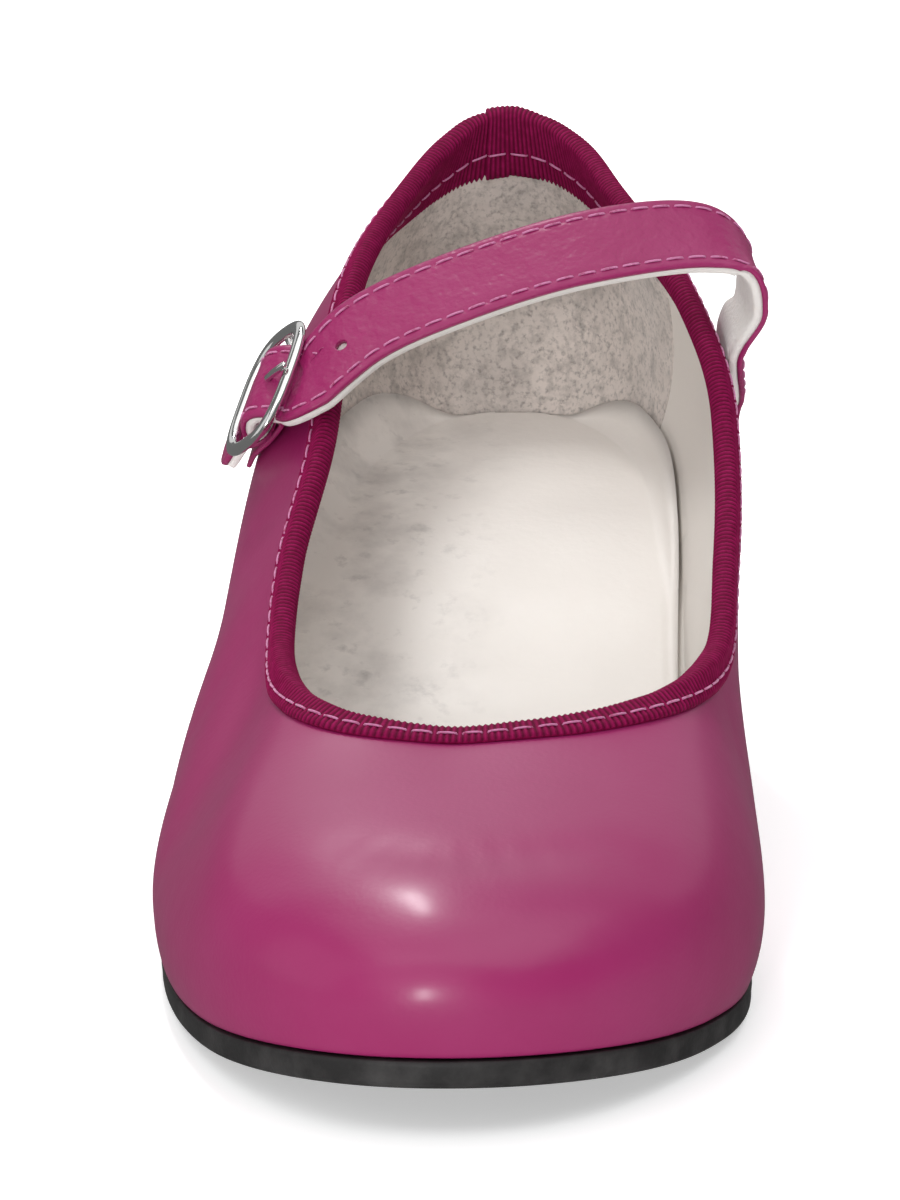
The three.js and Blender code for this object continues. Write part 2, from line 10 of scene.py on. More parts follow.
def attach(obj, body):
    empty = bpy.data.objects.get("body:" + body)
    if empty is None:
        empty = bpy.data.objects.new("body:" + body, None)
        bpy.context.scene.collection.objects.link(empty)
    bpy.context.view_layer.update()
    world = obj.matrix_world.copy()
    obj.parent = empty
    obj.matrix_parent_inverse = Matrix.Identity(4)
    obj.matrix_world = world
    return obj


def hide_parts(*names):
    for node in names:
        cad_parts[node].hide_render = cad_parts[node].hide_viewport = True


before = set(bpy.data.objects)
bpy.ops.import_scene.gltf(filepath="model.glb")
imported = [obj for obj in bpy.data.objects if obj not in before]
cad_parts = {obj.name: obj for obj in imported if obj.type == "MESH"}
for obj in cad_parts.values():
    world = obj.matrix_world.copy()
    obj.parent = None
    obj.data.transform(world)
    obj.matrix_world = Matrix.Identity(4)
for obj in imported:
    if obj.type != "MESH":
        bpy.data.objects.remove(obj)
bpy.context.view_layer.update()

# Everything below is in millimetres until a mesh is made
MM = 0.001

# Last
LENGTH = 210.5
BALL_WIDTH = 77
HEEL_HEIGHT = 38
TOE_SPRING = 6.4
BACK_HEIGHT = 50
HEEL_BACK = 27
TOE_SWING = 1.2
TOE_SQUARENESS = 2.15
FLAT_FRONT = 0.73
MIDDLE_BLEND = 7                # how fast the outer side takes over from the inner
MIDDLE_DEGREES = 8              # where the tables level out beside the middle line

# Upper
WALL = 1.5
LASTING = 11
BEND = 0.8
FOLD = 1.2
THROAT = 0.74
COLLAR_MIDDLE = 0.4436
COLLAR_BACK = 1
THROAT_SQUARENESS = 2.75

# Sole, heel and insole
CLEARANCE = 0.3
SOLE = 3.5
SOLE_BEVEL = 1.1
SOLE_INSET = 0.2
HEEL_END = 0.25
TIP_HEIGHT = 5
TIP_BACK = 19
TIP_FRONT = 17
TIP_HALF_WIDTH = 20.5
TIP_BEVEL = 0.6
HEEL_INSET = 1.2
HEEL_WAIST = 0.35
INSOLE = 1.4
SOCK_GAP = 0.5                  # sock edge to the inner face
SOCK_SIDE = 1.7                 # room between the flat of the sock and the wall for its curl
SOCK_CURL = 0.13                # share of the wall that the sock climbs beside the heel
FELT = 0.5

# Mesh counts of the upper: round the shoe, then rows of the outer and the inner face
AROUND = 360
OUTER_ROWS = 96
INNER_ROWS = 56

# Felt in the heel: its half angle at the floor, and how far that opens toward the collar
FELT_ANGLE = 38
FELT_OPENING = 14

# Collar ribbon and its stitches
RIBBON = 0.5
RIBBON_OUTSIDE = 3.6
RIBBON_INSIDE = 9.3
RIBBON_SPREAD = 5.5             # how much wider it lies inside the inner quarter, under the strap
SPREAD_ANGLE = -60
RIB_PITCH = 0.8
RIB_HEIGHT = 0.11
STITCH_OUTSIDE = 2.0            # stitch line below the collar edge, outside and inside
STITCH_INSIDE = 5.5
STITCH_PITCH = 3.2
STITCH_LENGTH = 2.5
THREAD = 0.16                   # radius
LAP_START = -5.4                # the ribbon's lap behind the heel, along the collar
LAP_END = 3.3

# Strap and buckle
STRAP_WIDTH = 12.5
STRAP = 2.4
STRAP_LEATHER = 0.95            # the rest of the thickness is felt
STRAP_CROWN = 0.92
STRAP_STITCH = 1.4              # stitch line in from the strap's edge
HOLE_RADIUS = 0.9
SPARE_HOLE = 8.35
RING_LONG = 9.8
RING_SHORT = 6.6
WIRE_WIDE = 1.1
WIRE_THIN = 0.75
BAR = 0.7
BAR_SINK = 2.6
TAB = 0.8
TAB_WIDTH = 9
PRONG_GAP = 0.2
PRONG = 0.55
TAIL_ALONG = 11
TAIL_FALL = 2.2
TIP_ROWS = 0.6                  # the strap's round tip, in rows of its table
RING_ANGLE = 75.7
RING_SHARE = 0.847
RING_OFF = 6.4
RING_LEAN = 45
RING_FLARE = -0.25
RING_HEADING = (-0.565, 0.677, -0.474)

# along, outer, inner: half widths in plan as shares of the ball width
PLAN = np.array([
    (0.00, 0.545, 0.545),
    (0.12, 0.475, 0.475),
    (0.25, 0.420, 0.420),
    (0.42, 0.430, 0.395),
    (0.58, 0.500, 0.455),
    (0.70, 0.555, 0.525),
    (0.85, 0.572, 0.600),
    (1.00, 0.565, 0.600),
])

# along, height of the outsole underside as a share of the heel height, then of the toe spring
ARCH = np.array([
    (0.00, 1.00), (0.12, 0.93), (0.22, 0.84), (0.32, 0.64),
    (0.42, 0.36), (0.52, 0.12), (0.61, 0.00), (0.73, 0.00),
])
SPRING = np.array([(0.73, 0), (0.87, 0.3), (1, 1)])

# angle round the mouth, outer, inner, height
COLLAR = np.array([
    (0, 0.462, 0.462, 1.010),
    (10, 0.401, 0.439, 0.990),
    (20, 0.353, 0.410, 0.956),
    (40, 0.308, 0.359, 0.880),
    (60, 0.300, 0.395, 0.819),
    (80, 0.292, 0.453, 0.771),
    (100, 0.335, 0.458, 0.726),
    (120, 0.356, 0.471, 0.686),
    (140, 0.367, 0.464, 0.662),
    (160, 0.388, 0.441, 0.641),
    (180, 0.418, 0.418, 0.620),
])

# angle, rise, outer, inner, reach outer, reach inner, drop
BULGE = np.array([
    (0, 0.40, 0.178, 0.178, 0.05, 0.05, 0.32),
    (30, 0.36, 0.188, 0.150, 0.15, 0.09, 0.28),
    (60, 0.28, 0.215, 0.101, 0.23, 0.21, 0.24),
    (90, 0.26, 0.217, 0.030, 0.15, 0.06, 0.24),
    (120, 0.28, 0.085, 0.099, 0.04, 0.00, 0.22),
    (150, 0.36, 0.110, 0.174, 0.35, 0.37, 0.14),
    (180, 0.40, 0.125, 0.125, 0.65, 0.65, 0.12),
])

# Creases of the upper, each a line between two places on the wall: angle, share, angle, share,
# half width in millimetres, depth (a ridge where it is negative)
CREASES = [
    (167, 0.60, 202, 0.57, 4.2, 0.42),
    (150, 0.40, 168, 0.52, 4.5, 0.18),
    (214, 0.44, 196, 0.50, 4.5, 0.20),
    (88, 0.34, 102, 0.40, 8.0, 0.14),
    (266, 0.30, 282, 0.40, 8.0, 0.14),
]

# The strap's seam: angle, share, lean of its width
STRAP_SEAM = [(-59.5, 0.50, 78), (-62.5, 0.64, 80)]

# Its middle line: across, along, height, lean, flare
STRAP_LINE = [
    (0.462, 0.289, 0.810, 80, 0.12),
    (0.494, 0.301, 0.880, 74, 0.22),
    (0.470, 0.304, 0.956, 63, 0.20),
    (0.375, 0.314, 0.990, 52, 0.06),
    (0.173, 0.338, 0.975, 47, 0.00),
    (-0.042, 0.349, 0.918, 46, 0.00),
    (-0.212, 0.356, 0.850, 45, -0.06),
]

# Its run through the ring: along as a share of RING_SHORT, out as a share of STRAP
RING_RUN = [
    (-1.20, -1.47), (-0.78, -1.10), (-0.34, -0.10), (0.00, 0.21),
    (0.34, -0.10), (0.75, -0.92), (1.15, -0.93),
]

# The buckle tab's two legs: angle, share, off as a multiple of TAB
TAB_RUN = [
    (68.0, 0.531, 0.95), (69.6, 0.598, 0.95), (71.4, 0.670, 0.95), (72.8, 0.727, 1.00),
    (73.8, 0.770, 1.35), (75.0, 0.820, 2.05), (75.9, 0.860, 2.92),
]
TAB_RETURN = [(74.8, 0.812, 3.55), (74.0, 0.777, 2.75), (72.8, 0.728, 2.25)]

# Colours, linear
LEATHER = (0.295, 0.012, 0.104, 1)
LEATHER_WORN = (0.315, 0.020, 0.120, 1)
RIBBON_RED = (0.230, 0.004, 0.058, 1)
RIBBON_LIGHT = (0.330, 0.008, 0.092, 1)
# Painted shade for the grooves between the ribs of the collar ribbon
RIBBON_GROOVE_SHADE = (0.060, 0.001, 0.014, 1)
THREAD_PINK = (0.560, 0.180, 0.370, 1)
CREAM = (0.840, 0.800, 0.750, 1)
CREAM_GREY = (0.480, 0.450, 0.425, 1)
FELT_GREY = (0.720, 0.650, 0.600, 1)
FELT_DARK = (0.270, 0.245, 0.228, 1)
WHITE_FELT = (0.740, 0.710, 0.680, 1)
RUBBER = (0.020, 0.019, 0.019, 1)
CHROME = (0.800, 0.800, 0.790, 1)
PAPER = (0.920, 0.920, 0.920, 1)
# Painted shade on the paper beside and before the shoe
PAPER_SHADE_GREY = (0.700, 0.700, 0.700, 1)


def read(table, place, column):
    """Reads one column of a table with a curve that never overshoots"""
    x, y = table[:, 0], table[:, column]
    slope = np.diff(y) / np.diff(x)
    tangent = np.zeros(len(x))
    tangent[0], tangent[-1] = slope[0], slope[-1]
    for k in range(1, len(x) - 1):
        if slope[k - 1] * slope[k] > 0:
            tangent[k] = 2 / (1 / slope[k - 1] + 1 / slope[k])
    place = np.clip(place, x[0], x[-1])
    i = np.clip(np.searchsorted(x, place, side="right") - 1, 0, len(x) - 2)
    step = x[i + 1] - x[i]
    t = (place - x[i]) / step
    curve = y[i] * (1 + 2 * t) * (1 - t) ** 2 + y[i + 1] * t * t * (3 - 2 * t)
    return curve + step * t * (1 - t) * (tangent[i] * (1 - t) - tangent[i + 1] * t)


def ease(t):
    t = np.clip(t, 0, 1)
    return t * t * (3 - 2 * t)


def unit(a):
    return a / np.linalg.norm(a, axis=-1, keepdims=True)


def underside(y):
    """Height of the outsole underside above the ground at a place along the shoe"""
    along = (HEEL_BACK - y) / LENGTH
    heel = HEEL_HEIGHT * read(ARCH, along, 1)
    toe = TOE_SPRING * read(SPRING, along, 1)
    return np.where(along < FLAT_FRONT, heel, toe)


def oval(angle, power):
    c, s = np.cos(angle), np.sin(angle)
    d = (np.abs(c) ** power + np.abs(s) ** power) ** (1 / power)
    return c / d, s / d


def degrees(angle):
    """Degrees from the heel's middle line, either way, flattened where both sides meet"""
    from_heel = np.degrees(np.abs(np.arctan2(np.sin(angle), np.cos(angle))))
    from_toe = 180 - from_heel * np.tanh(from_heel / MIDDLE_DEGREES)
    return 180 - from_toe * np.tanh(from_toe / MIDDLE_DEGREES)


def by_side(angle, table, place, outer, inner):
    """The outer column on one side, the inner on the other, blended over the middle line"""
    side = 0.5 + 0.5 * np.tanh(MIDDLE_BLEND * np.sin(angle))
    return read(table, place, inner) * (1 - side) + read(table, place, outer) * side


def edge(angle):
    """Edge of the sole in plan: 0 at the heel back, the outer side positive, 180 at the toe"""
    c, s = oval(angle, 2 + (TOE_SQUARENESS - 2) * ease(-np.cos(angle)))
    along = (1 - c) / 2
    half = BALL_WIDTH * by_side(angle, PLAN, along, 1, 2)
    return np.stack([TOE_SWING * ease(2 * along - 1) - half * s, HEEL_BACK - LENGTH * along], -1)


def outward(line, angle):
    step = 1e-3
    d = unit(line(angle + step) - line(angle - step))
    return np.stack([d[..., 1], -d[..., 0]], -1)


def inset_edge(angle, inset):
    return edge(angle) - outward(edge, angle) * np.asarray(inset)[..., None]


def level(angle, inset, height):
    """Points above the sole's edge line, moved in by the inset; height is over the underside"""
    p = inset_edge(angle, inset)
    return np.concatenate([p, (underside(p[..., 1]) + height)[..., None]], -1)


def collar(angle):
    c, s = oval(angle, 2 + (THROAT_SQUARENESS - 2) * ease(-1.6 * np.cos(angle)))
    middle = HEEL_BACK - LENGTH * COLLAR_MIDDLE
    back = HEEL_BACK - COLLAR_BACK - middle
    front = middle - (HEEL_BACK - LENGTH * THROAT)
    y = middle + c * (front + (back - front) * (0.5 + 0.5 * np.tanh(4 * c)))
    along = (HEEL_BACK - y) / LENGTH
    place = degrees(angle)
    x = 0.6 * TOE_SWING * ease(2 * along - 0.6) - BALL_WIDTH * by_side(angle, COLLAR, place, 1, 2) * s
    z = underside(y) + SOLE + BACK_HEIGHT * read(COLLAR, place, 3)
    return np.stack([x, y, z], -1)


def wall(angle, share):
    """Outer face of the upper, from the feather line (0) to the collar (1)"""
    angle, share = np.broadcast_arrays(np.asarray(angle, float), np.asarray(share, float))
    place = degrees(angle)
    low, top = level(angle, 0, SOLE + CLEARANCE + BEND), collar(angle)
    out = outward(edge, angle)
    lean = outward(lambda a: collar(a)[..., :2], angle)
    bulge = BACK_HEIGHT * by_side(angle, BULGE, place, 2, 3)
    reach = BACK_HEIGHT * by_side(angle, BULGE, place, 4, 5)
    rise, drop = BACK_HEIGHT * read(BULGE, place, 1), BACK_HEIGHT * read(BULGE, place, 6)
    low_handle = low + np.concatenate([out * bulge[..., None], rise[..., None]], -1)
    top_handle = top + np.concatenate([lean * reach[..., None], -drop[..., None]], -1)
    t = share[..., None]
    r = 1 - t
    return r ** 3 * low + 3 * r * r * t * low_handle + 3 * r * t * t * top_handle + t ** 3 * top


def wall_up(angle, share):
    step = 1e-3
    return unit(wall(angle, np.minimum(1, share + step)) - wall(angle, np.maximum(0, share - step)))


def wall_normal(angle, share):
    step = 1e-3
    around = wall(angle + step, share) - wall(angle - step, share)
    return unit(np.cross(around, wall_up(angle, share)))


def off_wall(angle, share, distance):
    return wall(angle, share) + wall_normal(angle, share) * np.asarray(distance)[..., None]


def share_below(angle, length):
    """Share of the wall curve that lies a given length below the collar"""
    shares = np.linspace(1, 0, 61)
    steps = np.linalg.norm(np.diff(wall(angle[:, None], shares[None, :]), axis=1), axis=2)
    done = np.concatenate([np.zeros((len(angle), 1)), np.cumsum(steps, 1)], 1)
    length = np.broadcast_to(length, angle.shape)
    return np.array([np.interp(want, row, shares) for want, row in zip(length, done)])


def ring_angles(count):
    return np.linspace(0, 2 * math.pi, count, endpoint=False)


def even_angles(line, count):
    """Angles that are evenly spaced along a closed line, and the line's length"""
    dense = np.linspace(0, 2 * math.pi, 2401)
    steps = np.linalg.norm(np.diff(line(dense), axis=0), axis=1)
    done = np.concatenate([[0], np.cumsum(steps)])
    return np.interp(np.linspace(0, done[-1], count, endpoint=False), done, dense), done[-1]


# Meshes

collection = bpy.context.scene.collection


def add_mesh(name, points, faces, materials, slots=None, smooth=True):
    mesh = bpy.data.meshes.new(name)
    mesh.from_pydata((np.asarray(points, float) * MM).tolist(), [], faces)
    for material in materials:
        mesh.materials.append(material)
    if slots is not None:
        mesh.polygons.foreach_set("material_index", slots)
    work = bmesh.new()
    work.from_mesh(mesh)
    bmesh.ops.recalc_face_normals(work, faces=work.faces)
    work.to_mesh(mesh)
    work.free()
    mesh.polygons.foreach_set("use_smooth", [smooth] * len(mesh.polygons))
    mesh.update()
    piece = bpy.data.objects.new(name, mesh)
    collection.objects.link(piece)
    return piece


def grid_faces(rows, columns, around, across, start=0):
    i, j = np.meshgrid(np.arange(rows - (not around)), np.arange(columns - (not across)), indexing="ij")
    below, beside = (i + 1) % rows, (j + 1) % columns
    corners = [i * columns + j, below * columns + j, below * columns + beside, i * columns + beside]
    return (np.stack(corners, -1).reshape(-1, 4) + start).tolist()


def add_grid(name, points, materials, around=False, across=False, caps=False, inner=None):
    """A mesh through a grid of points. inner gives the columns that take the second material."""
    rows, columns = points.shape[:2]
    faces = grid_faces(rows, columns, around, across)
    slots = None
    if inner is not None:
        column = np.arange(len(faces)) % (columns - (not across))
        slots = ((column >= inner[0]) & (column < inner[1])).astype(int).tolist()
    if caps:
        faces.append(list(range(columns)))
        faces.append([(rows - 1) * columns + j for j in reversed(range(columns))])
    return add_mesh(name, points.reshape(-1, 3), faces, materials, slots)


def add_wires(name, paths, radius, axis, material, sides=8):
    """Round wires along paths, all with the same number of points; axis stays across each path"""
    points, faces = [], []
    for path, across in zip(paths, axis):
        ahead = unit(np.gradient(path, axis=0))
        side = unit(across - ahead * (ahead * across).sum(-1, keepdims=True))
        up = np.cross(ahead, side)
        turn = ring_angles(sides)
        ring = side[:, None] * np.cos(turn)[:, None] + up[:, None] * np.sin(turn)[:, None]
        thick = np.broadcast_to(radius, len(path))[:, None, None]
        start = len(points) * len(path) * sides
        points.append(path[:, None] + ring * thick)
        faces += grid_faces(len(path), sides, False, True, start)
        faces.append([start + k for k in range(sides)])
        last = start + (len(path) - 1) * sides
        faces.append([last + k for k in reversed(range(sides))])
    return add_mesh(name, np.concatenate(points).reshape(-1, 3), faces, [material])


def add_stitches(name, line, normal, pitch, material):
    """Stitches along an open line: each rises out of the surface and dips back in at both ends"""
    steps = np.linalg.norm(np.diff(line, axis=0), axis=1)
    done = np.concatenate([[0], np.cumsum(steps)])
    count = int(done[-1] / pitch)
    lift = THREAD * np.array([-1.5, 0.1, 0.55, 0.7, 0.55, 0.1, -1.5])
    spread = STITCH_LENGTH * np.array([-0.5, -0.44, -0.24, 0, 0.24, 0.44, 0.5])
    paths, across = [], []
    for k in range(count):
        place = (k + 0.5) * done[-1] / count + spread
        point = np.stack([np.interp(place, done, line[:, i]) for i in range(3)], -1)
        face = unit(np.stack([np.interp(place, done, normal[:, i]) for i in range(3)], -1))
        paths.append(point + face * lift[:, None])
        across.append(face)
    return add_wires(name, paths, THREAD, across, material, 6)


# Finishes

def put(tree, socket, value):
    if isinstance(value, bpy.types.NodeSocket):
        tree.links.new(value, socket)
    else:
        socket.default_value = value


def node(tree, kind, inputs=None, **settings):
    made = tree.nodes.new("ShaderNode" + kind)
    for key, value in settings.items():
        setattr(made, key, value)
    for key, value in (inputs or {}).items():
        put(tree, made.inputs[key], value)
    return made


def mixed(tree, factor, a, b):
    made = tree.nodes.new("ShaderNodeMix")
    made.data_type = "RGBA"
    for index, value in ((0, factor), (6, a), (7, b)):
        put(tree, made.inputs[index], value)
    return made.outputs[2]


def noise(tree, place, scale, detail=3.0, rough=0.5):
    inputs = {"Vector": place, "Scale": scale, "Detail": detail, "Roughness": rough}
    return node(tree, "TexNoise", inputs).outputs["Fac"]


def ramp(tree, value, low, high):
    inputs = {"Value": value, "From Min": low, "From Max": high}
    return node(tree, "MapRange", inputs, clamp=True).outputs["Result"]


def finish(name, colour, second, patches, bumps=(), rough=0.5, rough_spread=0.0, only=None,
           groove_shade=None, **shader):
    """patches: (scale per metre, low, high) of the noise that mixes in the second colour;
    bumps: (kind, scale, strength, depth in mm);
    only: (x in mm where the patches are full, x where they have faded out);
    groove_shade: painted shade, the colour mixed in where the mesh's groove value is 1, which darkens
    the grooves between the ribs"""
    material = bpy.data.materials.new(name)
    material.use_nodes = True
    tree = material.node_tree
    tree.nodes.clear()
    place = node(tree, "TexCoord").outputs["Object"]
    tint = colour
    for scale, low, high in patches:
        amount = ramp(tree, noise(tree, place, scale, 6.0, 0.6), low, high)
        if only:
            across = node(tree, "SeparateXYZ", {"Vector": place}).outputs["X"]
            side = ramp(tree, across, only[1] * MM, only[0] * MM)
            amount = node(tree, "Math", {0: amount, 1: side}, operation="MULTIPLY").outputs[0]
        tint = mixed(tree, amount, tint, second)
    # Painted shade: the grooves between the ribs are darkened toward the groove shade colour
    if groove_shade:
        depth = node(tree, "Attribute", attribute_name="groove").outputs["Fac"]
        tint = mixed(tree, depth, tint, groove_shade)
    body = node(tree, "BsdfPrincipled", {"Base Color": tint, "Roughness": rough})
    if rough_spread:
        smear = noise(tree, place, 90)
        spread = node(tree, "MapRange", {
            "Value": smear, "From Min": 0.3, "From Max": 0.7,
            "To Min": rough - rough_spread, "To Max": rough + rough_spread}, clamp=True)
        put(tree, body.inputs["Roughness"], spread.outputs["Result"])
    for key, value in shader.items():
        body.inputs[key.replace("_", " ").title().replace("Ior", "IOR")].default_value = value
    normal = None
    for kind, scale, strength, depth in bumps:
        if kind == "cells":
            cells = node(tree, "TexVoronoi", {"Vector": place, "Scale": scale}, feature="SMOOTH_F1")
            height = cells.outputs["Distance"]
        else:
            height = noise(tree, place, scale, 4.0)
        inputs = {"Height": height, "Strength": strength, "Distance": depth * MM}
        if normal is not None:
            inputs["Normal"] = normal
        normal = node(tree, "Bump", inputs).outputs["Normal"]
    if normal is not None:
        put(tree, body.inputs["Normal"], normal)
    out = node(tree, "OutputMaterial")
    tree.links.new(body.outputs["BSDF"], out.inputs["Surface"])
    return material


GRAIN = [("cells", 1500, 0.12, 0.12), ("noise", 110, 0.10, 0.5), ("noise", 2600, 0.08, 0.1)]
leather = finish("satin_leather", LEATHER, LEATHER_WORN, [(22, 0.45, 0.75)], GRAIN,
                 rough=0.42, rough_spread=0.03, coat_weight=0.3, coat_roughness=0.22,
                 specular_ior_level=0.38)
strap_skin = finish("strap_leather", LEATHER, LEATHER_WORN, [(60, 0.4, 0.7)],
                    [("cells", 1300, 0.3, 0.2), ("noise", 520, 0.7, 0.4), ("noise", 120, 0.2, 0.5)],
                    rough=0.42, rough_spread=0.05, coat_weight=0.12, coat_roughness=0.3,
                    specular_ior_level=0.35)
sock_leather = finish("sock_leather", CREAM, CREAM_GREY, [(75, 0.46, 0.85), (260, 0.56, 0.78)],
                      [("noise", 260, 0.35, 0.4), ("noise", 900, 0.2, 0.2)], rough=0.5,
                      rough_spread=0.05, only=(-16, 4))
lining = finish("cream_lining", CREAM, CREAM_GREY, [(60, 0.62, 0.95)],
                [("noise", 300, 0.2, 0.3), ("noise", 2000, 0.1, 0.1)], rough=0.55, rough_spread=0.05)
# The grosgrain carries painted shade in the grooves between its ribs
ribbon_cloth = finish("grosgrain", RIBBON_RED, RIBBON_LIGHT, [(900, 0.4, 0.7)],
                      [("noise", 4000, 0.4, 0.15)], rough=0.7, groove_shade=RIBBON_GROOVE_SHADE,
                      specular_ior_level=0.08)
thread = finish("pink_thread", THREAD_PINK, RIBBON_LIGHT, [(1200, 0.5, 0.7)],
                [("noise", 6000, 0.4, 0.1)], rough=0.6, sheen_weight=0.3)
felt = finish("grey_felt", FELT_GREY, FELT_DARK,
              [(1300, 0.50, 0.74), (420, 0.48, 0.85), (60, 0.42, 1.1)],
              [("noise", 1500, 0.6, 0.3), ("noise", 5000, 0.4, 0.15)], rough=0.95, sheen_weight=0.3)
white_felt = finish("white_felt", WHITE_FELT, FELT_GREY, [(500, 0.55, 0.85)],
                    [("noise", 1500, 0.6, 0.3), ("noise", 5000, 0.4, 0.15)], rough=0.95,
                    sheen_weight=0.3)
rubber = finish("sole_rubber", RUBBER, (0.06, 0.057, 0.056, 1), [(120, 0.45, 0.8)],
                [("noise", 1800, 0.25, 0.15)], rough=0.55, rough_spread=0.08, specular_ior_level=0.3)
chrome = finish("polished_nickel", CHROME, (0.55, 0.55, 0.54, 1), [(300, 0.6, 0.8)],
                [("noise", 700, 0.06, 0.1)], rough=0.12, metallic=1.0)


def place_piece(piece, nodes):
    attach(piece, "root")
    if nodes:
        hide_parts(*nodes)


# Upper and linings

def relief(points):
    """How far the creases push the face of the upper out, in millimetres"""
    total = np.zeros(points.shape[:-1])
    for angle, share, far_angle, far_share, half, depth in CREASES:
        places = np.linspace(0, 1, 9)
        angles = np.radians(angle + (far_angle - angle) * places)
        line = wall(angles, share + (far_share - share) * places)
        away = np.linalg.norm(points[..., None, :] - line, axis=-1)
        fade = np.sqrt(np.sin(math.pi * (0.08 + 0.84 * places)))
        total -= depth * (fade * np.exp(-(away / half) ** 2)).max(-1)
    return total


def upper_shell():
    angle = ring_angles(AROUND)[:, None]
    rising = np.linspace(0, 1, OUTER_ROWS)[None]
    outer = off_wall(angle, rising, relief(wall(angle, rising)))
    falling = np.linspace(1, 0.015, INNER_ROWS)[None]
    inner = off_wall(angle, falling, np.full((AROUND, INNER_ROWS), -WALL))
    base = SOLE + CLEARANCE
    turn = [(WALL + FOLD, WALL), (LASTING, WALL), (LASTING, 0), (BEND, 0), (0.3 * BEND, 0.3 * BEND)]
    margin = np.stack([level(angle[:, 0], inset, base + height) for inset, height in turn], 1)
    points = np.concatenate([outer, inner, margin], 1)
    return add_grid("upper_shell", points, [leather, lining], around=True, across=True,
                    inner=(OUTER_ROWS - 1, OUTER_ROWS + INNER_ROWS + 1))


def heel_lining():
    """Felt on the heel's inner wall, its front edge leaning forward as it rises"""
    share = np.linspace(0.004, 0.97, 60)[None]
    spread = np.linspace(-1, 1, 140)[:, None]
    angle = np.radians((FELT_ANGLE + FELT_OPENING * share) * spread)
    thick = FELT * ease(8 * (1 - np.abs(spread))) * ease(10 * (1 - share) + 0.2)
    face = off_wall(angle, share, -WALL - 0.04 - thick)
    back = off_wall(angle, share, np.full(angle.shape, -WALL + 0.2))
    points = np.concatenate([face, back[:, ::-1]], 1)
    return add_grid("heel_lining", points, [felt], across=True, caps=True)


def sock():
    """Cream sock on the insole, curling up the wall beside the heel and short at the back"""
    rows = 220
    angle = np.linspace(math.radians(4), math.radians(176.5), rows)
    place = np.degrees(angle)
    top = SOLE + 2 * CLEARANCE + WALL + INSOLE

    def rim(sign):
        curled = ease((place - 7) / 27) * (1.2 if sign > 0 else 1)
        inset = WALL + FELT + 0.2 + (SOCK_SIDE + SOCK_GAP - FELT) * curled
        floor = level(sign * angle, inset, np.full(rows, top))
        share = SOCK_CURL * curled * (1 - ease((place - 44) / 40)) + 0.012
        climb = off_wall(sign * angle, share, np.full(rows, -WALL - FELT - SOCK_GAP))
        climb[..., 2] = np.maximum(climb[..., 2], floor[..., 2] + 0.1)
        flat_rim = floor + np.array([0, 0, 0.1])
        return floor, flat_rim + (climb - flat_rim) * ease((place - 7) / 16)[:, None]

    left_floor, left_rim = rim(1)
    right_floor, right_rim = rim(-1)
    strip = np.linspace(0, 1, 70)[None, :, None]
    floor = left_floor[:, None] * (1 - strip) + right_floor[:, None] * strip
    y = floor[..., 1]
    sway = np.sin(0.31 * y + 2.0 * np.sin(0.12 * floor[..., 0])) * np.sin(0.23 * floor[..., 0] + 0.9)
    floor[..., 2] += 0.10 * sway * ease((-y - 20) / 60)
    half = 0.5 * (left_floor + left_rim) + np.array([0, 0, -0.45])
    other = 0.5 * (right_floor + right_rim) + np.array([0, 0, -0.45])
    columns = [left_rim[:, None], half[:, None], floor, other[:, None], right_rim[:, None]]
    face = np.concatenate(columns, 1)
    low = face[:, ::-1] - np.array([0, 0, 0.9])
    inward = np.zeros_like(low)
    inward[:, :2, 0], inward[:, -2:, 0] = -0.05, 0.05
    points = np.concatenate([face, low + inward], 1)
    return add_grid("sock", points, [sock_leather], across=True, caps=True)


# Collar ribbon

RIBS = 4                        # samples round each rib


def ribbon_lift(along):
    """Extra height where the ribbon's far end laps over its start behind the heel"""
    place = np.where(along > along[-1] / 2, along - along[-1], along)
    lapped = (place > LAP_START) & (place < LAP_END)
    seam = 0.1 * np.exp(-((place - LAP_END - 0.3) / 0.4) ** 2)
    return RIBBON * lapped * np.clip((place - LAP_START) / 4, 0, 1) - seam


